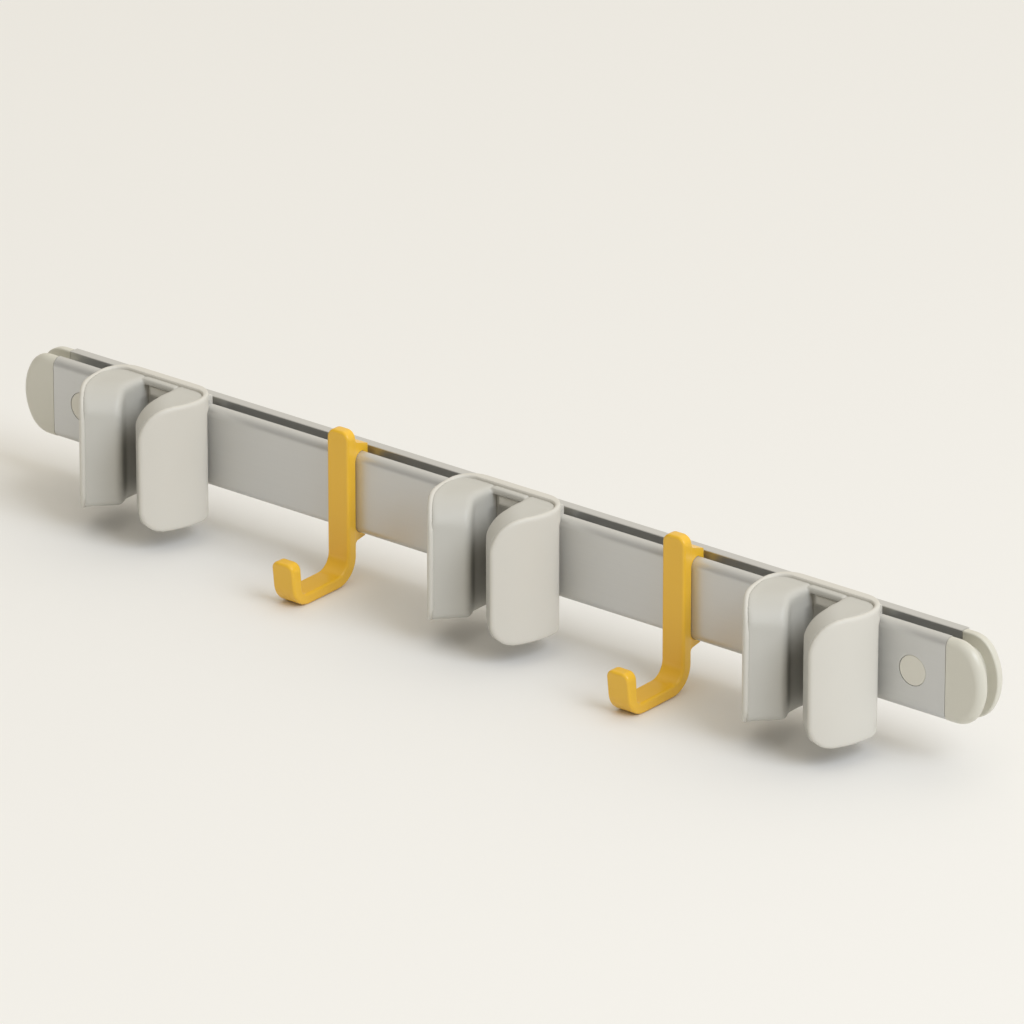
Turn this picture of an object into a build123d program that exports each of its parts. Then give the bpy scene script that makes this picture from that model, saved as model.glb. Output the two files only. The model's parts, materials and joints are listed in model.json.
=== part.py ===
from build123d import *
import os
from math import cos, degrees, radians, sin, sqrt

# A wall organiser for long-handled tools. The origin is the centre of the rail's back face,
# X runs along the rail, the front faces -Y and Z is up. All sizes are millimetres.

# Rail: an extrusion of two hollow flanges joined by two webs
LENGTH = 863.2            # tip to tip over both end caps
RAIL_HEIGHT = 61.4
FLANGE = 8.0              # thickness of each flange
SLOT = 10.7               # open gap between the flanges
RAIL_WALL = 1.8
NOSE_R = 6.6              # round front edges of the front flange
EDGE_R = 0.8              # crisp edges elsewhere
CHAMBER_NOSE_R = 4.0
CHAMBER_EDGE_R = 0.3
WEB = 2.0
WEB_LEVEL = 13.0          # height of each web above or below the middle

# Wall screws and their covers
SCREW_SPACING = 747.0
SCREW_HOLE_R = 3.0
HEAD_ACCESS_R = 7.0
COVER_R = 11.0
COVER_GAP = 0.25          # fine ring that shows round each cover
COVER_FACE = 1.6
COVER_SKIRT_WALL = 1.4
COVER_BEVEL = 0.4

# End caps
CAP_LENGTH = 30.7
CAP_NOSE_R = 40.0         # broad curve of the end
CAP_CORNER_R = 20.0
CAP_GROOVE = 9.0          # depth of the groove that carries the slot round the end
CAP_FRONT_ROUND = 6.0     # rounding of the lobes' rims, from the front to the back
CAP_SLOT_ROUND = 1.9
CAP_REAR_ROUND = 1.2
CAP_BACK_ROUND = 4.4
SEAM = 0.5                # fine groove round the joint with the rail
SEAM_DEPTH = 0.6
SPIGOT = 14.0
SPIGOT_GAP = 0.15

# Running gap between the rail and whatever slides on it
RUN = 0.35

# Lips that hold a slider on the front flange
LIP_DROP = 9.0            # reach of the upper lip into the slot
LIP_SHOULDER = 3.4        # thickness of the bridge over the flange
LIP_TOP_R = 3.0
LIP_ROUND = 1.2
LIP_FOOT = 3.1            # thickness of the foot under the flange
NIB = 1.9
NIB_RISE = 3.5            # reach of the lower nib behind the flange
NIB_ROUND = 0.8

# Holders: C-shaped spring shells
HOLDER_X = (-293.35, 27.95, 305.05)
HOLDER_TOP = 44.1
HOLDER_BOTTOM = -49.7
HOLDER_HALF_WIDTH = 47.1
SHELL_WALL = 3.0
SHELL_BACK_R = 15.3
ARM_R = 63.0              # bow of each arm
ARM_SWEEP = 46.4          # degrees of bow from the side to the free end
ARM_TOP_R = 25.0
ARM_BOTTOM_R = 17.0
RIM_ROUND = 0.9
LEDGE = 4.2               # how far the shell's top stands over the flange
SHELL_LIP = 4.6           # thickness of the lip in the rail's slot
SHELL_BLEND = 1.5         # hollow rounding where the lips leave the back wall
LIP_HALF = 33.0           # half the length of the upper lip behind a shell
FOOT_HALF = 27.0          # half the length of its lower foot
BRACKET_TOP = 41.9
BRACKET_FOOT = 37.6       # depth of the foot below the middle
KEY_HALF = 9.8            # raised key on the shell's back wall that locates the grip
KEY_TOP = 36.9
KEY_HEIGHT = 7.0
KEY_DEPTH = 3.6

# Grips: soft inserts, moulded hollow and open below
GRIP_TOP = 42.3
GRIP_BOTTOM = -45.9
GRIP_WALL = 4.0
GRIP_GAP = 0.1
THROAT = 7.3              # half the gap between the ridges, before rounding
RIDGE_Y = -67.4
RIDGE_R = 5.0
CAVITY = 14.5             # half the gap behind the ridges
CAVITY_FRONT = -53.4
CAVITY_BACK = -43.4
GRIP_BACK = 13.6          # half the gap at the back wall
STRIP_DEPTH = 5.4         # strips that join the two jaws across the back
STRIP_HEIGHT = 5.0
STRIP_OVERLAP = 1.0
STRIP_ROUND = 1.7
GRIP_RIM = 1.0            # how far the grip stays behind the shell's free edge
GRIP_NOSE = 1.0           # how far its ridge may pass that edge
GRIP_TOP_R = 24.0
GRIP_BOTTOM_R = 10.0
THROAT_SIDE = 19.0        # edges nearer the middle than this belong to the throat
THROAT_TOP_R = 5.0        # soft rounding of the throat's ends
THROAT_BOTTOM_R = 3.5

# Hooks
HOOK_X = (-125.85, 174.75)
HOOK_WIDTH = 19.6
HOOK_STEM = 9.2
HOOK_TOP = 49.0
HOOK_TOP_R = 7.0          # rounding of the stem's end, seen from the front
HOOK_ARM_TOP = -57.0
HOOK_ARM_FALL = 1.2       # the arm slopes down to the tip
HOOK_ARM = 8.6
HOOK_TIP_TOP = -32.2
HOOK_TIP_TOP_R = 6.0
HOOK_TIP = 10.0
HOOK_TIP_LEAN = 4.0       # how far the tip's front leans back at its foot
HOOK_CROOK_LEAN = 2.0
HOOK_REACH = 97.8         # tip's front face, from the wall
HOOK_INNER_R = 12.0
HOOK_OUTER_R = 20.0
HOOK_TIP_R = 17.0
HOOK_CROOK_R = 5.0
HOOK_EDGE = 2.0
HOOK_LIP = 6.3            # thickness of the lip in the rail's slot
HOOK_LIP_TOP = 39.2       # where the upper lip leaves the stem
HOOK_GUSSET = 36.0        # depth of the gusset below the middle
HOOK_BLEND = 3.0
HOOK_LIP_WIDTH = 17.6     # the lips are a little narrower than the stem
HOOK_LIP_CORNER = 2.5     # rounding of the lip's rear corners, seen from above

DEPTH = 2 * FLANGE + SLOT
FRONT = -DEPTH
FLANGE_BACK = FRONT + FLANGE
SLOT_MID = -FLANGE - SLOT / 2
HALF_HEIGHT = RAIL_HEIGHT / 2
RAIL_LENGTH = LENGTH - 2 * CAP_LENGTH
SLIDER_BACK = FRONT - RUN
HOLDER_MIDDLE = (HOLDER_TOP + HOLDER_BOTTOM) / 2
HOLDER_HEIGHT = HOLDER_TOP - HOLDER_BOTTOM
SIDE_NAMES = ("left", "right")
HOLDER_NAMES = ("left", "middle", "right")


def bore(x, radius, y_from, y_to):
    """Round bar across the rail, between two depths."""
    length = abs(y_to - y_from)
    return Pos(x, (y_from + y_to) / 2, 0) * Cylinder(radius, length, rotation=(90, 0, 0))


def outline_face(corners):
    """Closed face through corner points, each rounded by its own radius."""
    points = [point for point, _ in corners]
    radii = [radius for _, radius in corners]
    return make_face(FilletPolyline(*points, radius=radii, close=True))


def flange_faces(inset, nose_r, edge_r):
    """Both flanges seen along the rail. Only the front one has round front edges."""
    half = HALF_HEIGHT - inset
    faces = Sketch()
    for front, back, front_r in ((FRONT, FLANGE_BACK, nose_r), (-FLANGE, 0, edge_r)):
        faces += outline_face(
            [
                ((front + inset, -half), front_r),
                ((back - inset, -half), edge_r),
                ((back - inset, half), edge_r),
                ((front + inset, half), front_r),
            ]
        )
    return faces


def make_rail():
    section = flange_faces(0, NOSE_R, EDGE_R)
    for z in (-WEB_LEVEL, WEB_LEVEL):
        section += Pos(SLOT_MID, z) * Rectangle(SLOT + RAIL_WALL, WEB)
    section -= flange_faces(RAIL_WALL, CHAMBER_NOSE_R, CHAMBER_EDGE_R)
    rail = extrude(Plane.YZ * section, RAIL_LENGTH / 2, both=True)
    for x in (-SCREW_SPACING / 2, SCREW_SPACING / 2):
        rail -= bore(x, COVER_R + COVER_GAP, FRONT, FRONT + RAIL_WALL)
        rail -= bore(x, HEAD_ACCESS_R, FLANGE_BACK - RAIL_WALL, -FLANGE + RAIL_WALL)
        rail -= bore(x, SCREW_HOLE_R, -RAIL_WALL, 0)
    return rail


def make_cover(x):
    """Flush disc on a skirt that stands on the chamber's rear wall."""
    seat = FLANGE_BACK - RAIL_WALL
    skirt_r = COVER_R - COVER_GAP
    cover = bore(x, COVER_R, FRONT, FRONT + COVER_FACE)
    cover = chamfer(cover.edges().group_by(Axis.Y)[0], COVER_BEVEL)
    cover += bore(x, skirt_r, FRONT + COVER_FACE, seat)
    return cover - bore(x, skirt_r - COVER_SKIRT_WALL, FRONT + COVER_FACE, seat)


def cap_outline(inset):
    """Rounded end of a cap seen from the front, from the seam outwards."""
    half = HALF_HEIGHT - inset
    tip = CAP_LENGTH - inset
    nose_r = CAP_NOSE_R - inset
    shoulder = tip - nose_r + sqrt(nose_r**2 - half**2)
    nose = ThreePointArc((shoulder, -half), (tip, 0), (shoulder, half))
    outline = make_face(nose + Polyline((shoulder, half), (SEAM, half), (SEAM, -half), (shoulder, -half)))
    return fillet(outline.vertices().group_by(Axis.X)[-1], CAP_CORNER_R - inset)


def make_lobe(back, front_round, back_round):
    """One lobe of a cap, with the two rims of its free edge rounded."""
    lobe = Pos(0, back, 0) * extrude(Plane.XZ * cap_outline(0), FLANGE)
    for side, radius in ((0, front_round), (-1, back_round)):
        rim = lobe.edges().filter_by(Axis.Y, reverse=True).group_by(Axis.Y)[side]
        lobe = fillet(rim.sort_by(Axis.X)[1:], radius)
    return lobe


def make_cap():
    """Right-hand cap, with two lobes, the groove between them and a spigot for each chamber."""
    cap = make_lobe(FLANGE_BACK, CAP_FRONT_ROUND, CAP_SLOT_ROUND)
    cap += make_lobe(0, CAP_REAR_ROUND, CAP_BACK_ROUND)
    cap += extrude(Plane.YZ * flange_faces(SEAM_DEPTH, NOSE_R - SEAM_DEPTH, EDGE_R - SEAM_DEPTH), SEAM)
    cap += Pos(0, RAIL_WALL - FLANGE, 0) * extrude(Plane.XZ * cap_outline(CAP_GROOVE), SLOT + 2 * RAIL_WALL)
    plug_wall = RAIL_WALL + SPIGOT_GAP
    plug = flange_faces(plug_wall, CHAMBER_NOSE_R - SPIGOT_GAP, CHAMBER_EDGE_R - SPIGOT_GAP)
    cap += extrude(Plane.YZ * plug, SPIGOT, dir=(-1, 0, 0))
    return Pos(RAIL_LENGTH / 2, 0, 0) * cap


def hugging_line(lip):
    """Points and corner radii of the line that follows the front flange at running distance.

    It starts under the flange's back edge, passes the front face and ends on the lip in the slot above.
    """
    back = FLANGE_BACK + RUN
    level = HALF_HEIGHT + RUN
    nib_top = -HALF_HEIGHT + NIB_RISE
    lip_end = HALF_HEIGHT - LIP_DROP
    return [
        ((back + NIB, nib_top), NIB_ROUND),
        ((back, nib_top), NIB_ROUND),
        ((back, -level), EDGE_R + RUN),
        ((SLIDER_BACK, -level), NOSE_R + RUN),
        ((SLIDER_BACK, level), NOSE_R + RUN),
        ((back, level), EDGE_R + RUN),
        ((back, lip_end), LIP_ROUND),
        ((back + lip, lip_end), LIP_ROUND),
        ((back + lip, level + LIP_SHOULDER), LIP_TOP_R),
    ]


def bracket_face(inside, foot, top, lip, blend):
    """Side view of the lips behind a slider, from its foot under the flange to its upper lip."""
    nib_back = FLANGE_BACK + RUN + NIB
    return outline_face(
        [
            ((inside, -foot - blend), 0),
            ((SLIDER_BACK, -foot - blend), 0),
            ((SLIDER_BACK, -foot), blend),
            ((nib_back, -HALF_HEIGHT - RUN - LIP_FOOT), LIP_ROUND),
        ]
        + hugging_line(lip)
        + [((SLIDER_BACK, top), blend), ((SLIDER_BACK, top + blend), 0), ((inside, top + blend), 0)]
    )


def arm_centre():
    return HOLDER_HALF_WIDTH - ARM_R, SLIDER_BACK - SHELL_BACK_R


def back_line(inset, ledge=0.0):
    """Right half of a holder's back in plan, from its middle round the corner to the arm."""
    back = SLIDER_BACK + ledge - inset
    corner_x = HOLDER_HALF_WIDTH - SHELL_BACK_R - ledge
    corner_r = SHELL_BACK_R + ledge - inset
    corner = CenterArc((corner_x, SLIDER_BACK - SHELL_BACK_R), corner_r, 90, -90)
    return Line((0, back), (corner_x, back)) + corner


def arm_line(inset, sweep):
    """Right half of a holder's plan, from the middle of its back to the free end of the arm."""
    return back_line(inset) + CenterArc(arm_centre(), ARM_R - inset, 0, -sweep)


def arm_point(inset, sweep):
    x, y = arm_centre()
    angle = radians(sweep)
    return x + (ARM_R - inset) * cos(angle), y - (ARM_R - inset) * sin(angle)


def band(outer, inner):
    """Face between two lines that run side by side."""
    return make_face(outer + inner + Line(outer @ 0, inner @ 0) + Line(outer @ 1, inner @ 1))


def upright(face, bottom, top):
    return Pos(0, 0, bottom) * extrude(face, top - bottom)


def arm_end_cutter(nose, top, bottom, top_r, bottom_r):
    """What lies beyond the rounded end of the right arm, seen square to the arm there."""
    along = (-sin(radians(ARM_SWEEP)), -cos(radians(ARM_SWEEP)), 0)
    inwards = (-cos(radians(ARM_SWEEP)), sin(radians(ARM_SWEEP)), 0)
    view = Plane(origin=(*arm_point(0, ARM_SWEEP), 0), x_dir=along, z_dir=inwards)
    kept = Pos(nose - HOLDER_HEIGHT / 2, (top + bottom) / 2) * Rectangle(HOLDER_HEIGHT, top - bottom)
    ends = kept.vertices().group_by(Axis.X)[-1].sort_by(Axis.Y)
    kept = fillet(ends[-1], top_r)
    ends = kept.vertices().group_by(Axis.X)[-1].sort_by(Axis.Y)
    kept = fillet(ends[0], bottom_r)
    blank = Pos(nose, HOLDER_MIDDLE) * Rectangle(2 * top_r, 2 * HOLDER_HEIGHT)
    return extrude(view * (blank - kept), HOLDER_HALF_WIDTH, both=True)


def make_shell():
    """Spring shell of a holder, with its rail lips and the key for its grip, at x = 0."""
    half = upright(band(arm_line(0, ARM_SWEEP), arm_line(SHELL_WALL, ARM_SWEEP)), HOLDER_BOTTOM, HOLDER_TOP)
    half -= arm_end_cutter(0, HOLDER_TOP, HOLDER_BOTTOM, ARM_TOP_R, ARM_BOTTOM_R)
    half += upright(band(back_line(0, LEDGE), back_line(SHELL_WALL)), HALF_HEIGHT + RUN, HOLDER_TOP)
    half = fillet(half.edges().group_by(Axis.Z)[-1].filter_by(GeomType.CIRCLE), RIM_ROUND)
    shell = half + mirror(half, Plane.YZ)
    inside = SLIDER_BACK - SHELL_WALL / 2
    bracket = Plane.YZ * bracket_face(inside, BRACKET_FOOT, BRACKET_TOP, SHELL_LIP, SHELL_BLEND)
    shell += split(extrude(bracket, LIP_HALF, both=True), Plane.XY, keep=Keep.TOP)
    shell += split(extrude(bracket, FOOT_HALF, both=True), Plane.XY, keep=Keep.BOTTOM)
    key_y = SLIDER_BACK - SHELL_WALL - KEY_DEPTH / 2
    shell += Pos(0, key_y, KEY_TOP - KEY_HEIGHT / 2) * Box(2 * KEY_HALF, KEY_DEPTH, KEY_HEIGHT)
    return shell


def jaw_plan():
    """Right jaw in plan: along the shell's inside, then back along the throat and the cavity."""
    fit = SHELL_WALL + GRIP_GAP
    back = SLIDER_BACK - fit
    outer = arm_line(fit, ARM_SWEEP - degrees(GRIP_RIM / ARM_R))
    throat = FilletPolyline(
        outer @ 1,
        (THROAT, RIDGE_Y),
        (CAVITY, CAVITY_FRONT),
        (CAVITY, CAVITY_BACK),
        (GRIP_BACK, back - STRIP_DEPTH),
        (GRIP_BACK, back),
        radius=[RIDGE_R, RIDGE_R, RIDGE_R, STRIP_ROUND],
    )
    closing = Line((GRIP_BACK, back), outer.edges()[0] @ 1)
    return make_face(outer.edges()[1:] + throat.edges() + [closing])


def throat_edges(jaw, bottom, top):
    """Edges of the right jaw's throat between two levels, without the upright ones."""
    edges = jaw.edges().filter_by(Axis.Z, reverse=True).filter_by_position(Axis.Z, bottom, top)
    return edges.filter_by(lambda edge: edge.center().X < THROAT_SIDE)


def make_grip():
    """Soft insert of a holder: two hollow jaws and the strips that join them, at x = 0."""
    plan = jaw_plan()
    jaw = upright(plan, GRIP_BOTTOM, GRIP_TOP)
    jaw -= arm_end_cutter(GRIP_NOSE, GRIP_TOP, GRIP_BOTTOM, GRIP_TOP_R, GRIP_BOTTOM_R)
    jaw = fillet(throat_edges(jaw, 0, GRIP_TOP), THROAT_TOP_R)
    jaw = fillet(throat_edges(jaw, GRIP_BOTTOM, GRIP_BOTTOM / 2), THROAT_BOTTOM_R)
    core = upright(offset(plan, -GRIP_WALL), GRIP_BOTTOM, GRIP_TOP - GRIP_WALL)
    core -= arm_end_cutter(
        GRIP_NOSE - GRIP_BOTTOM_R,
        GRIP_TOP - GRIP_WALL,
        GRIP_BOTTOM - GRIP_BOTTOM_R,
        GRIP_TOP_R - GRIP_BOTTOM_R,
        GRIP_WALL,
    )
    jaw -= core
    grip = jaw + mirror(jaw, Plane.YZ)
    strip_y = SLIDER_BACK - SHELL_WALL - GRIP_GAP - STRIP_DEPTH / 2
    for level in (GRIP_BOTTOM + STRIP_HEIGHT / 2, GRIP_TOP - STRIP_HEIGHT / 2):
        strip = Pos(0, strip_y, level) * Box(2 * (GRIP_BACK + STRIP_OVERLAP), STRIP_DEPTH, STRIP_HEIGHT)
        grip += fillet(strip.edges().filter_by(Axis.X).group_by(Axis.Y)[0], STRIP_ROUND)
    return grip


def beyond_round_top(level, radius, y_back, y_front):
    """What lies outside the rounded top of a hook's stem or tip, seen from the front."""
    kept = Pos(0, level - HOOK_WIDTH / 2) * Rectangle(HOOK_WIDTH, HOOK_WIDTH)
    kept = fillet(kept.vertices().group_by(Axis.Y)[-1], radius)
    blank = Pos(0, level) * Rectangle(2 * HOOK_WIDTH, 2 * radius)
    return Pos(0, y_back, 0) * extrude(Plane.XZ * (blank - kept), y_back - y_front)


def make_hook():
    """One-piece J hook with its rail lips, at x = 0."""
    front = SLIDER_BACK - HOOK_STEM
    tip_front = -HOOK_REACH
    tip_back = tip_front + HOOK_TIP
    arm_end = HOOK_ARM_TOP - HOOK_ARM_FALL
    body = outline_face(
        [
            ((SLIDER_BACK, HOOK_TOP), 0),
            ((front, HOOK_TOP), 0),
            ((front, HOOK_ARM_TOP), HOOK_INNER_R),
            ((tip_back + HOOK_CROOK_LEAN, arm_end), HOOK_CROOK_R),
            ((tip_back, HOOK_TIP_TOP), 0),
            ((tip_front, HOOK_TIP_TOP), 0),
            ((tip_front + HOOK_TIP_LEAN, arm_end - HOOK_ARM), HOOK_TIP_R),
            ((SLIDER_BACK, HOOK_ARM_TOP - HOOK_ARM), HOOK_OUTER_R),
        ]
    )
    hook = extrude(Plane.YZ * body, HOOK_WIDTH / 2, both=True)
    hook -= beyond_round_top(HOOK_TOP, HOOK_TOP_R, 0, front - HOOK_STEM)
    hook -= beyond_round_top(HOOK_TIP_TOP, HOOK_TIP_TOP_R, tip_back + HOOK_TIP, tip_front - HOOK_TIP)
    ends = hook.edges().filter_by(Axis.X).filter_by_position(Axis.Z, HOOK_TIP_TOP, HOOK_TOP)
    sides = hook.edges().filter_by(Axis.X, reverse=True).filter_by(Axis.Y, reverse=True)
    hook = fillet(ends + sides, HOOK_EDGE)
    inside = SLIDER_BACK - HOOK_STEM / 2
    lips = bracket_face(inside, HOOK_GUSSET, HOOK_LIP_TOP, HOOK_LIP, HOOK_BLEND)
    lips = extrude(Plane.YZ * lips, HOOK_LIP_WIDTH / 2, both=True)
    lip_back = FLANGE_BACK + RUN + HOOK_LIP
    lip_plan = Pos(0, (inside + lip_back) / 2) * Rectangle(HOOK_LIP_WIDTH, lip_back - inside)
    lip_plan = fillet(lip_plan.vertices().group_by(Axis.Y)[-1], HOOK_LIP_CORNER)
    return hook + (lips & upright(lip_plan, -HOOK_TOP, HOOK_TOP))


NODES = {"rail": make_rail()}
cap = make_cap()
NODES["end_cap_right"] = cap
NODES["end_cap_left"] = mirror(cap, Plane.YZ)
for side, sign in zip(SIDE_NAMES, (-1, 1)):
    NODES[f"screw_cover_{side}"] = make_cover(sign * SCREW_SPACING / 2)
shell = make_shell()
grip = make_grip()
hook = make_hook()
for side, x in zip(HOLDER_NAMES, HOLDER_X):
    NODES[f"holder_shell_{side}"] = Pos(x, 0, 0) * shell
    NODES[f"grip_insert_{side}"] = Pos(x, 0, 0) * grip
for side, x in zip(SIDE_NAMES, HOOK_X):
    NODES[f"hook_{side}"] = Pos(x, 0, 0) * hook

os.makedirs("parts", exist_ok=True)
for name, solid in NODES.items():
    export_step(solid, f"parts/{name}.step")
    print(name, round(solid.volume / 1000, 2), "cm3", len(solid.solids()), "solid")
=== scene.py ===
# %% [markdown]
# This lesson dresses a wall organiser for brooms and mops: an aluminium rail with an end cap at each end,
# three spring holders with soft grips, and two yellow hooks. The pieces come in at their real size as a
# fixed frame, in metres, with the rail along X, the wall at Y = 0 and the room at -Y. Nothing here moves or
# resizes that frame: it only adds finishes, light and the soft shapes that a drawing of solids can't give.

# %% Load the frame
import json
from math import cos, radians, sin

import bpy
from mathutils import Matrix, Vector


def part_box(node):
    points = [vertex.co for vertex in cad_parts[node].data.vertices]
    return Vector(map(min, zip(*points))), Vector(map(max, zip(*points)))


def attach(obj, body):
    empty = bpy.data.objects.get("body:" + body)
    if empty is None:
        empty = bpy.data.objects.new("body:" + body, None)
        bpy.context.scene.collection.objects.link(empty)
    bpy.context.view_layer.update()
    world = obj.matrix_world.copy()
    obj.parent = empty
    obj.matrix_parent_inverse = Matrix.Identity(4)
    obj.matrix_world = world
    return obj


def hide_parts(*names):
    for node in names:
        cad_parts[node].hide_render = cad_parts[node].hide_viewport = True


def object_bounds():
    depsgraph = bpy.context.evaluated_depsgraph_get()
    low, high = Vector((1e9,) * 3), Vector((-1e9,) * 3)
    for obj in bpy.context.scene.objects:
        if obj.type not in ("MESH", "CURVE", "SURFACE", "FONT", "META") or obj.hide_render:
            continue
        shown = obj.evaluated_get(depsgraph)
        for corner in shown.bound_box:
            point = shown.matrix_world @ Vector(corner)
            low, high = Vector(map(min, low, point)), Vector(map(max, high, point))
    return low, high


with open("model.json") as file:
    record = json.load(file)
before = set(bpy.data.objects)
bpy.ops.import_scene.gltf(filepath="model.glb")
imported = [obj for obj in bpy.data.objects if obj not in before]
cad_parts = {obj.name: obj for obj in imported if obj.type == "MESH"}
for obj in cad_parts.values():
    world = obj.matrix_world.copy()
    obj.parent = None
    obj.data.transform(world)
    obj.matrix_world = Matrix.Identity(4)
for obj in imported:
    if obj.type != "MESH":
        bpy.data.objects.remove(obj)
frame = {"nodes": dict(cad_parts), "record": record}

cad_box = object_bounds()
print("Box in metres:", [round(value, 4) for corner in cad_box for value in corner])

# %% [markdown]
# The picture was taken from the front, to the right and above, from far away with a long lens, so upright
# edges stay almost parallel. A camera could be placed by eye, but then no edge would ever fall quite where
# it should. Here the direction, the distance and the scale are known, so the lens and its shift are worked
# out from them.

# %% Camera
IMAGE = 1024               # pixels along each side of the picture
SENSOR = 36.0              # millimetres
AZIMUTH = radians(39.2346)
ELEVATION = radians(22.739)
DISTANCE = 7.064           # metres from the middle of the rail's back
PIXELS_PER_METRE = 1431.6  # at that middle
CENTRE_PIXEL = (508.354, 522.961)  # where the picture shows it
FAR_END = 100.0            # metres that the camera sees

camera_data = bpy.data.cameras.new("photo_camera")
camera_data.sensor_width = SENSOR
camera_data.lens = SENSOR * PIXELS_PER_METRE * DISTANCE / IMAGE
camera_data.shift_x = (IMAGE / 2 - 0.5 - CENTRE_PIXEL[0]) / IMAGE
camera_data.shift_y = (CENTRE_PIXEL[1] - IMAGE / 2 + 0.5) / IMAGE
camera_data.clip_end = FAR_END
camera = bpy.data.objects.new("photo_camera", camera_data)
camera.location = DISTANCE * Vector(
    (sin(AZIMUTH) * cos(ELEVATION), -cos(AZIMUTH) * cos(ELEVATION), sin(ELEVATION))
)
camera.rotation_euler = (radians(90) - ELEVATION, 0, AZIMUTH)
bpy.context.scene.collection.objects.link(camera)
bpy.context.scene.camera = camera
bpy.context.scene.view_settings.view_transform = "Standard"
print("Lens of", round(camera_data.lens, 1), "mm")

# %% [markdown]
# A finish is a small network of nodes. Written node by node it is hard to read, so this class wraps one
# output socket and lets plain Python expressions add the Math nodes: 1 - mask works as it reads. Nearly
# every other node comes from its one method, node. The same class serves materials, the world and Geometry
# Nodes.

# %% A wrapper for sockets
class Wire:
    """One output socket of a node tree, on which Python's operators work."""

    def __init__(self, socket):
        self.socket = socket
        self.tree = socket.id_data

    def node(self, kind, settings, values, output=0):
        """Add a node: its settings first, then a value or a wire for each input socket."""
        made = self.tree.nodes.new(kind)
        for name, value in settings.items():
            setattr(made, name, value)
        for key, value in values.items():
            if isinstance(value, Wire):
                self.tree.links.new(value.socket, made.inputs[key])
            else:
                made.inputs[key].default_value = value
        return Wire(made.outputs[output])

    def maths(self, operation, first, second):
        return self.node("ShaderNodeMath", {"operation": operation}, {0: first, 1: second})

    def __add__(self, other):
        return self.maths("ADD", self, other)

    def __sub__(self, other):
        return self.maths("SUBTRACT", self, other)

    def __rsub__(self, other):
        return self.maths("SUBTRACT", other, self)

    def __mul__(self, other):
        return self.maths("MULTIPLY", self, other)

    __radd__ = __add__
    __rmul__ = __mul__

    def feed(self, shader, name):
        self.tree.links.new(self.socket, shader.inputs[name])

# %% [markdown]
# Every finish below is mixed from the same few things: noise of some size, a colour that runs between two
# others, bumps, and ramps along an axis. The coordinates are the object's own, in metres, so a noise of
# scale 2000 has grains of half a millimetre whatever the size of the piece, and nothing slides when a
# holder is pushed along the rail. Geometry Nodes know the nodes of axis and ramp too, so both are used
# again further down.

# %% Helpers for the finishes
def new_finish(name):
    """A material, its main shader and the wire of its object coordinates in metres."""
    material = bpy.data.materials.new(name)
    material.use_nodes = True
    tree = material.node_tree
    place = Wire(tree.nodes.new("ShaderNodeTexCoord").outputs["Object"])
    return material, tree.nodes["Principled BSDF"], place


def noise(place, scale, detail=2.0):
    return place.node("ShaderNodeTexNoise", {}, {"Vector": place, "Scale": scale, "Detail": detail}, "Fac")


def between(amount, first, second):
    """A colour that runs from the first to the second with the amount."""
    ends = [tone if isinstance(tone, Wire) else (*tone, 1) for tone in (first, second)]
    return amount.node("ShaderNodeMix", {"data_type": "RGBA"}, {0: amount, 6: ends[0], 7: ends[1]}, 2)


def bump(height, strength, depth):
    sockets = {"Height": height, "Strength": strength, "Distance": depth}
    return height.node("ShaderNodeBump", {}, sockets, "Normal")


def shaded(colour, share):
    """A colour made lighter or darker."""
    return tuple(value * share for value in colour)


def axis(vector, letter):
    return vector.node("ShaderNodeSeparateXYZ", {}, {0: vector}, letter)


def ramp(value, start, end):
    """A smooth rise from 0 to 1."""
    sockets = {"Value": value, "From Min": start, "From Max": end}
    return value.node("ShaderNodeMapRange", {"interpolation_type": "SMOOTHSTEP"}, sockets, "Result")

# %% [markdown]
# Holders, caps, covers and hooks are moulded plastic. Up close such plastic isn't even: its colour drifts a
# little across a piece, and the mould leaves a fine spark-eroded grain that spreads each highlight. Caps
# and hooks are polished too, which is a thin clear coat here. In the holders' throats the colour is painted
# darker, as painted shade where the deep cavity shades itself, and an attribute that those meshes get
# further down says where. One function makes all of these finishes: only the colour, the gloss and the
# grain differ, as they do between batches of real mouldings.

# %% Moulded plastics
CLOUD = 18.0           # patches of colour drift per metre
CLOUD_DETAIL = 3.0
DRIFT = 0.02           # share by which the colour drifts
GRAIN_GLOSS = 0.12     # how far the grain changes the roughness
GRAIN_STRENGTH = 0.35
COAT_ROUGHNESS = 0.22
PAINTED_SHADE_NAME = "worn"          # attribute that marks the painted shade in the throats
PAINTED_SHADE_SHARE = 0.80            # share of the tone that the painted shade takes


def moulded_finish(name, colour, roughness, grain, grain_depth, coat=0.0):
    material, shader, place = new_finish(name)
    shader.inputs["Coat Weight"].default_value = coat
    shader.inputs["Coat Roughness"].default_value = COAT_ROUGHNESS
    cloud = noise(place, CLOUD, CLOUD_DETAIL)
    tone = between(cloud, shaded(colour, 1 - DRIFT), shaded(colour, 1 + DRIFT))
    # painted shade: the attribute darkens the throats, where the deep cavity shades itself
    worn = place.node("ShaderNodeAttribute", {"attribute_name": PAINTED_SHADE_NAME}, {}, "Fac")
    between(worn, tone, shaded(colour, 1 - PAINTED_SHADE_SHARE)).feed(shader, "Base Color")
    speck = noise(place, grain)
    (roughness + GRAIN_GLOSS * (speck - 0.5)).feed(shader, "Roughness")
    bump(speck, GRAIN_STRENGTH, grain_depth).feed(shader, "Normal")
    return material


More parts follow.
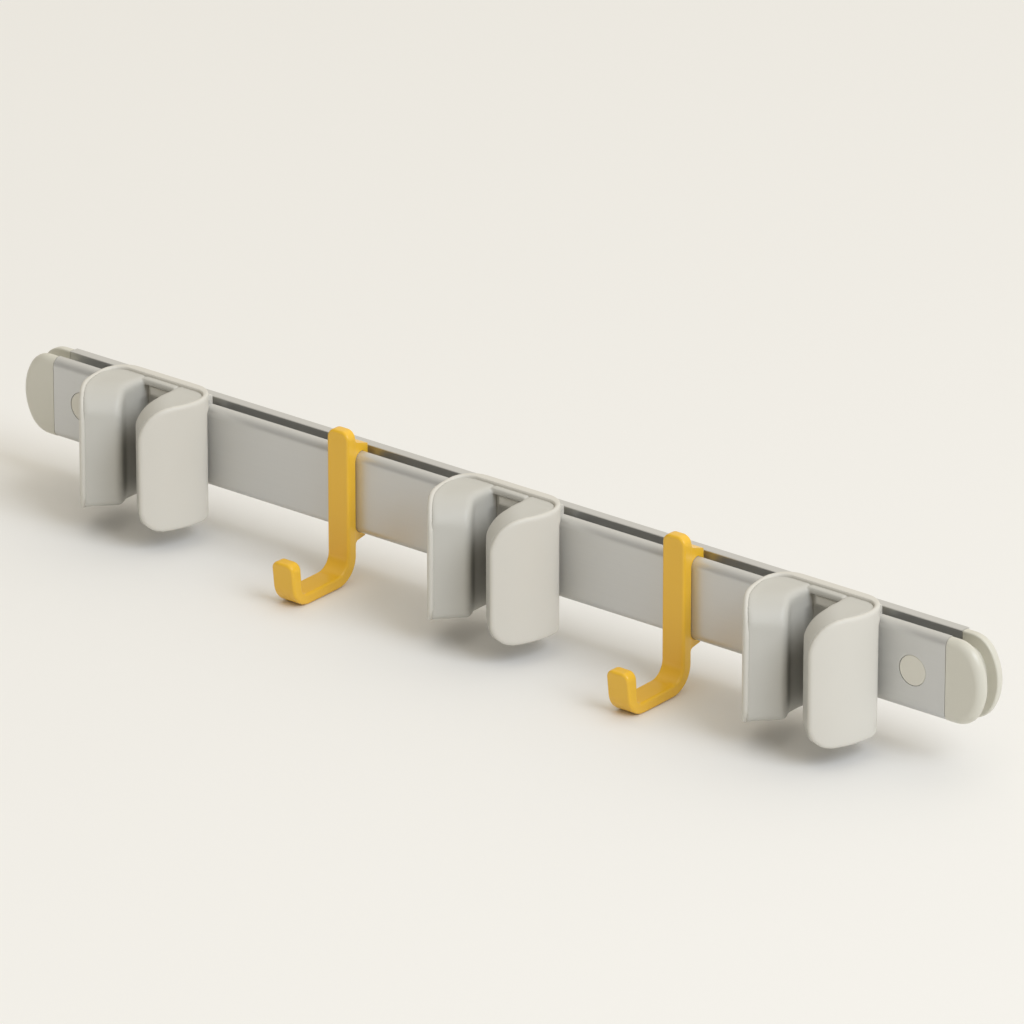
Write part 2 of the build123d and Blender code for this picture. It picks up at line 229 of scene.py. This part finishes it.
# name, colour, roughness, grains per metre, their depth in metres, clear coat
FINISHES = {
    "caps": moulded_finish("cap_plastic", (0.66, 0.645, 0.565), 0.36, 2200.0, 0.0001, 0.3),
    "covers": moulded_finish("cover_plastic", (0.72, 0.70, 0.625), 0.45, 2200.0, 0.0001),
    "shells": moulded_finish("shell_plastic", (0.68, 0.66, 0.605), 0.50, 1800.0, 0.0001),
    "grips": moulded_finish("grip_rubber", (0.57, 0.561, 0.52), 0.45, 1500.0, 0.0001),
    "hooks": moulded_finish("hook_plastic", (0.88, 0.515, 0.027), 0.36, 2200.0, 0.00008, 0.3),
}
print("Moulded finishes:", sorted(FINISHES))

# %% [markdown]
# The rail is one aluminium extrusion, etched and anodised to a satin grey. Such a skin scatters about half
# of the light as paper does and mirrors the rest as metal does, so it is only partly metallic here. In the
# slot, which the bath hardly brightens, the metal stays barer and mirrors the dark. The die draws faint
# lines along the whole length: noise stretched a few hundred times along X, which changes the gloss and the
# tone a little.

# %% Drawn aluminium
LINES = (2.0, 900.0, 900.0)        # lines per metre along X, Y and Z
LINE_DETAIL = 3.0
LINE_SHARE = 0.7                   # part that the lines have in the tone, beside the clouds
LINE_TONE = 0.04                   # share by which both change it
LINE_GLOSS = 0.14
LINE_STRENGTH = 0.1
LINE_DEPTH = 0.00005               # metres
SATIN = 0.55                       # how metallic the etched skin is
BARE = 0.90                        # how metallic the bare one is
SLOT_REAR = (-0.00780, -0.00795)   # Y over which the slot begins before the rear flange
SLOT_FRONT = (-0.01875, -0.01890)  # Y over which it ends at the front flange


def drawn_metal(name, colour, roughness):
    material, shader, place = new_finish(name)
    depth = axis(place, "Y")
    slot = ramp(depth, *SLOT_REAR) * (1 - ramp(depth, *SLOT_FRONT))
    (SATIN + (BARE - SATIN) * slot).feed(shader, "Metallic")
    stretched = place.node("ShaderNodeMapping", {}, {"Vector": place, "Scale": LINES})
    lines = noise(stretched, 1.0, LINE_DETAIL)
    mixed = LINE_SHARE * lines + (1 - LINE_SHARE) * noise(place, CLOUD)
    between(mixed, shaded(colour, 1 - LINE_TONE), shaded(colour, 1 + LINE_TONE)).feed(shader, "Base Color")
    (roughness + LINE_GLOSS * (lines - 0.5)).feed(shader, "Roughness")
    bump(lines, LINE_STRENGTH, LINE_DEPTH).feed(shader, "Normal")
    return material


FINISHES["rail"] = drawn_metal("satin_aluminium", (0.62, 0.621, 0.61), 0.40)
for part in frame["record"]["subparts"]:
    node = frame["nodes"][part["node"]]
    node.data.materials.clear()
    node.data.materials.append(FINISHES[part["material_slot"]])
print("Dressed nodes:", len(frame["nodes"]))

# %% [markdown]
# The throats of the holders are painted darker: painted shade, where each deep cavity shades itself. It
# goes from a little above the foot to a little below the top, and less at the stiff back, where a raised
# key hides the wall. The mask is put together from smooth ramps along the three axes, which are easier to
# place than paint.

# %% Painted shade in the throats
SHADE_WIDTH = (0.011, 0.017)    # metres from the holder's middle over which the painted shade fades out
SHADE_BEHIND_RIDGES = (-0.068, -0.052)  # Y over which it begins behind the ridges
SHADE_FOOT = (-0.046, -0.030)   # Z over which it begins at the bottom
SHADE_TOP = (-0.008, 0.022)     # Z over which it ends on the jaws
SHADE_WALL = (-0.042, -0.036)   # Y where the back begins
SHADE_UNDER_KEY = (0.026, 0.030)      # Z over which it ends there, under the key
WALL_SHARE = 0.5              # how much of it reaches there


def painted_throat_shade(place, centre):
    """How much painted shade a point of a holder gets, from 0 to 1."""
    aside = axis(place, "X") - centre
    aside = aside.maths("ABSOLUTE", aside, 0.0)
    depth = axis(place, "Y")
    height = axis(place, "Z")
    # painted shade: darker deep in the throat and on the back wall under the key
    jaws = ramp(depth, *SHADE_BEHIND_RIDGES) * (1 - ramp(height, *SHADE_TOP))
    wall = WALL_SHARE * ramp(depth, *SHADE_WALL) * (1 - ramp(height, *SHADE_UNDER_KEY))
    return jaws.maths("MAXIMUM", jaws, wall) * ramp(height, *SHADE_FOOT) * (1 - ramp(aside, *SHADE_WIDTH))

# %% [markdown]
# A holder is a stiff shell with a soft rubber grip moulded into it. Neither has a sharp line where it is
# free: the shell's rim is round and dips a little along its arms, and the rubber rolls over into the
# throat. Fillets can't flow into each other like that. So each solid is rebuilt as an even mesh of small
# squares, and one rule shapes it. The rule asks how far each point is from what holds the piece, its
# keeper. It grows the piece where it is bedded, swells and pushes it where it is free, and then relaxes
# what is free: every point is drawn towards the middle of its neighbours, round after round. Geometry Nodes
# suit this, because the rule is the same for all six pieces.

# %% Inputs of the rule
MOULDING_INPUTS = {
    "Geometry": "NodeSocketGeometry",
    "Keeper": "NodeSocketObject",  # what holds the piece
    "Held": "NodeSocketFloat",     # nearer to the keeper than this, nothing relaxes
    "Free": "NodeSocketFloat",     # from this distance on, everything does
    "Root": "NodeSocketFloat",     # Y of the holder's back, up to which nothing moves
    "Clear": "NodeSocketFloat",    # Y from which the piece is clear of that back
    "Seat": "NodeSocketFloat",     # growth where it is held, which beds it in the keeper
    "Swell": "NodeSocketFloat",    # growth where it is free, which makes up for what relaxing takes away
    "Push": "NodeSocketVector",    # the same, in one direction
    "Start": "NodeSocketFloat",    # Y where the arms leave the back
    "Midway": "NodeSocketFloat",   # Y where their top edge dips most
    "End": "NodeSocketFloat",      # Y of their free ends
    "Waist": "NodeSocketFloat",    # Z above which the dip grows
    "Top": "NodeSocketFloat",      # Z where it is full
    "Dip": "NodeSocketFloat",
    "Rounds": "NodeSocketInt",     # rounds of relaxing
    "Centre": "NodeSocketFloat",   # X of the holder's middle
    "Finish": "NodeSocketMaterial",
}
LEFT_AT_END = 0.2                  # share of the dip that is left at the arms' ends
print("The rule has", len(MOULDING_INPUTS), "inputs")

# %% [markdown]
# The tree is built in the order in which it works: measure the distance, work out the shift of each point,
# store the mask of painted shade while the points are still in their old places, move them, relax them.
# Realize Instances and Set Material close it.

# %% The rule that shapes a moulding
def vector_maths(operation, first, second):
    key = "Scale" if operation == "SCALE" else 1
    return first.node("ShaderNodeVectorMath", {"operation": operation}, {0: first, key: second})


def moulding_shift(given, place, freedom, clear):
    """How far each point moves before the relaxing."""
    outward = place.node("GeometryNodeInputNormal", {}, {})
    swollen = vector_maths("SCALE", outward, given["Seat"] * (clear - freedom) + given["Swell"] * freedom)
    pushed = vector_maths("SCALE", given["Push"], freedom)
    depth = axis(place, "Y")
    along = ramp(depth, given["Start"], given["Midway"])
    along = along - (1 - LEFT_AT_END) * ramp(depth, given["Midway"], given["End"])
    dip = given["Dip"] * along * ramp(axis(place, "Z"), given["Waist"], given["Top"])
    dipped = place.node("ShaderNodeCombineXYZ", {}, {"Z": -1 * dip})
    return vector_maths("ADD", vector_maths("ADD", swollen, pushed), dipped)


def moulding_tree():
    tree = bpy.data.node_groups.new("shape_moulding", "GeometryNodeTree")
    for name, kind in MOULDING_INPUTS.items():
        tree.interface.new_socket(name, in_out="INPUT", socket_type=kind)
    tree.interface.new_socket("Geometry", in_out="OUTPUT", socket_type="NodeSocketGeometry")
    sockets = tree.nodes.new("NodeGroupInput").outputs
    given = {name: Wire(sockets[name]) for name in MOULDING_INPUTS}
    piece = given["Geometry"]

    relative = {"transform_space": "RELATIVE"}
    keeper = piece.node("GeometryNodeObjectInfo", relative, {"Object": given["Keeper"]}, "Geometry")
    gap = piece.node("GeometryNodeProximity", {"target_element": "FACES"}, {0: keeper}, "Distance")
    place = piece.node("GeometryNodeInputPosition", {}, {})
    clear = ramp(axis(place, "Y"), given["Root"], given["Clear"])
    freedom = ramp(gap, given["Held"], given["Free"]) * clear

    # painted shade: the throat's darkening is stored as an attribute before the points move
    mask = {0: piece, "Name": PAINTED_SHADE_NAME, "Value": painted_throat_shade(place, given["Centre"])}
    marked = piece.node("GeometryNodeStoreNamedAttribute", {"data_type": "FLOAT"}, mask)
    shift = moulding_shift(given, place, freedom, clear)
    shaped = piece.node("GeometryNodeSetPosition", {}, {"Geometry": marked, "Offset": shift})
    blur = {"Value": place, "Iterations": given["Rounds"], "Weight": freedom}
    relaxed = piece.node("GeometryNodeBlurAttribute", {"data_type": "FLOAT_VECTOR"}, blur)
    soft = piece.node("GeometryNodeSetPosition", {}, {"Geometry": shaped, "Position": relaxed})
    real = piece.node("GeometryNodeRealizeInstances", {}, {0: soft})
    dressed = piece.node("GeometryNodeSetMaterial", {}, {"Geometry": real, "Material": given["Finish"]})
    tree.links.new(dressed.socket, tree.nodes.new("NodeGroupOutput").inputs[0])
    return tree


MOULDING = moulding_tree()
print("The rule has", len(MOULDING.nodes), "nodes")

# %% [markdown]
# Each piece starts as a merged copy of its solid, because the solid's own mesh is loose triangles. Remesh
# gives the even squares, the rule above shapes them, and the result is kept as a plain mesh that takes the
# solid's place and rides with its holder.

# %% From a solid to a moulding
MERGE = 1e-5    # metres between corners that are the same
VOXEL = 0.0008  # metres, edge of the squares


def moulded_piece(name, solid, body, values):
    """A piece made from a node's solid by the rule, in the solid's place."""
    work = bpy.data.objects.new(name, frame["nodes"][solid].data.copy())
    bpy.context.scene.collection.objects.link(work)
    work.modifiers.new("merge", "WELD").merge_threshold = MERGE
    squares = work.modifiers.new("squares", "REMESH")
    squares.mode = "VOXEL"
    squares.voxel_size = VOXEL
    squares.use_smooth_shade = True
    rule = work.modifiers.new("rule", "NODES")
    rule.node_group = MOULDING
    for item in MOULDING.interface.items_tree:
        if item.in_out == "INPUT" and item.name in values:
            rule[item.identifier] = values[item.name]
    mesh = bpy.data.meshes.new_from_object(work.evaluated_get(bpy.context.evaluated_depsgraph_get()))
    bpy.data.objects.remove(work)
    mesh.name = name
    piece = bpy.data.objects.new(name, mesh)
    bpy.context.scene.collection.objects.link(piece)
    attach(piece, body)
    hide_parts(solid)
    print(name, "has", len(mesh.polygons), "squares")

# %% [markdown]
# The shell is held by the rail: the rule leaves its back and its lips alone, and its arms swell and get a
# few rounds, which are enough for a soft rim. The rubber is held by the shell: it is bedded in it, lies
# flat against its back, and gets more rounds. It is pushed out of the throat a little first, because
# relaxing draws every bulge inwards. Each grip is made before its shell, while the solid that keeps it is
# still there to be measured.

# %% Three holders
ARMS = {"Start": -0.028, "Midway": -0.050, "End": -0.078, "Waist": 0.0}
SHELL_HOLD = {"Held": 0.002, "Free": 0.008, "Root": -0.028, "Clear": -0.045}
SHELL = {**SHELL_HOLD, "Swell": 0.0009, "Dip": 0.0012, "Rounds": 8}
GRIP_HOLD = {"Held": 0.0005, "Free": 0.006, "Root": -0.037, "Clear": -0.047}
GRIP = {**GRIP_HOLD, "Seat": 0.0009, "Swell": 0.0004, "Push": (0, -0.0010, 0), "Rounds": 12}

for side in ("left", "middle", "right"):
    body = side + "_holder"
    solid = "holder_shell_" + side
    low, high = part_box(solid)
    own = {**ARMS, "Centre": (low.x + high.x) / 2, "Top": high.z}
    grip = {**own, **GRIP, "Keeper": frame["nodes"][solid], "Finish": FINISHES["grips"]}
    moulded_piece("soft_grip_" + side, "grip_insert_" + side, body, grip)
    shell = {**own, **SHELL, "Keeper": frame["nodes"]["rail"], "Finish": FINISHES["shells"]}
    moulded_piece("shell_" + side, solid, body, shell)

# %% [markdown]
# The object stands on a sheet of warm white paper that is larger than the picture. A plain plane does, with
# the faintest mottle, so that the shadow has something to fall on.

# %% Floor
FLOOR_SIZE = 40.0  # metres
FLOOR_TONE = (0.875, 0.872, 0.86)
FLOOR_ROUGHNESS = 0.9
MOTTLE = 0.005     # share by which the tone changes
MOTTLE_SCALE = 3.0

bpy.ops.mesh.primitive_plane_add(size=FLOOR_SIZE, location=(0, 0, cad_box[0].z))
floor = bpy.context.object
floor.name = "floor"
floor_paper, floor_shader, floor_place = new_finish("floor_paper")
mottle = noise(floor_place, MOTTLE_SCALE)
floor_tone = between(mottle, shaded(FLOOR_TONE, 1 - MOTTLE), shaded(FLOOR_TONE, 1 + MOTTLE))
floor_tone.feed(floor_shader, "Base Color")
floor_shader.inputs["Roughness"].default_value = FLOOR_ROUGHNESS
floor.data.materials.append(floor_paper)
print("Floor at", round(cad_box[0].z, 4), "m")

# %% [markdown]
# A product studio is a big pale room, warmer than its lamps. The room is the world here. It is brightest
# straight above, under the ceiling's lights, brighter behind the object than in front, and dim in one
# corner up on the left, which the rail's rounded top edge mirrors as a dark band. The brightness is a sum
# of the direction's own parts, so it needs no image.

# %% Room light
ROOM_COLOUR = (1.0, 0.94, 0.825)
ROOM = 0.35                         # brightness all round
CEILING = 0.71                      # what the ceiling and the far wall add to it
FAR_WALL = 0.46
CORNER = 0.30                       # what the dim corner takes away
CORNER_FROM = (-0.60, -0.45, 0.66)  # up on the left, on the near side
CORNER_SHARPNESS = 6.0

world = bpy.data.worlds.new("studio")
bpy.context.scene.world = world
world.use_nodes = True
background = world.node_tree.nodes["Background"]
background.inputs["Color"].default_value = (*ROOM_COLOUR, 1)
heading = Wire(world.node_tree.nodes.new("ShaderNodeTexCoord").outputs["Generated"])
above = axis(heading, "Z")
behind = axis(heading, "Y")
behind = behind.maths("MAXIMUM", behind, 0.0)
product = {"operation": "DOT_PRODUCT"}
corner = heading.node("ShaderNodeVectorMath", product, {0: heading, 1: CORNER_FROM}, "Value")
corner = corner.maths("POWER", corner.maths("MAXIMUM", corner, 0.0), CORNER_SHARPNESS)
(ROOM + CEILING * above * above + FAR_WALL * behind - CORNER * corner).feed(background, "Strength")
print("Room brightness from", ROOM, "to", round(ROOM + CEILING, 2), "at the ceiling")

# %% [markdown]
# One large round lamp stands on the right, a little to the near side, and throws the soft shadows to the
# left. A lamp could stand close by and be small, but a big one far away lights both ends of the rail alike
# and keeps the shadows' edges soft. It is cooler than the room, so lit plastic looks white while the
# shadows stay warm.

# %% Lamp
LAMP_AZIMUTH = radians(-7)
LAMP_ELEVATION = radians(40)
LAMP_DISTANCE = 9.0  # metres
LAMP_SIZE = 5.5      # metres across
LAMP_POWER = 365.0   # watts
LAMP_COLOUR = (0.95, 1.02, 1.13)

lamp_data = bpy.data.lights.new("key", "AREA")
lamp_data.shape = "DISK"
lamp_data.size = LAMP_SIZE
lamp_data.energy = LAMP_POWER
lamp_data.color = LAMP_COLOUR
lamp = bpy.data.objects.new("key", lamp_data)
bpy.context.scene.collection.objects.link(lamp)
towards = Vector(
    (cos(LAMP_AZIMUTH) * cos(LAMP_ELEVATION), sin(LAMP_AZIMUTH) * cos(LAMP_ELEVATION), sin(LAMP_ELEVATION))
)
lamp.location = LAMP_DISTANCE * towards
lamp.rotation_euler = towards.to_track_quat("Z", "Y").to_euler()
print("Lamp at", [round(value, 2) for value in lamp.location])
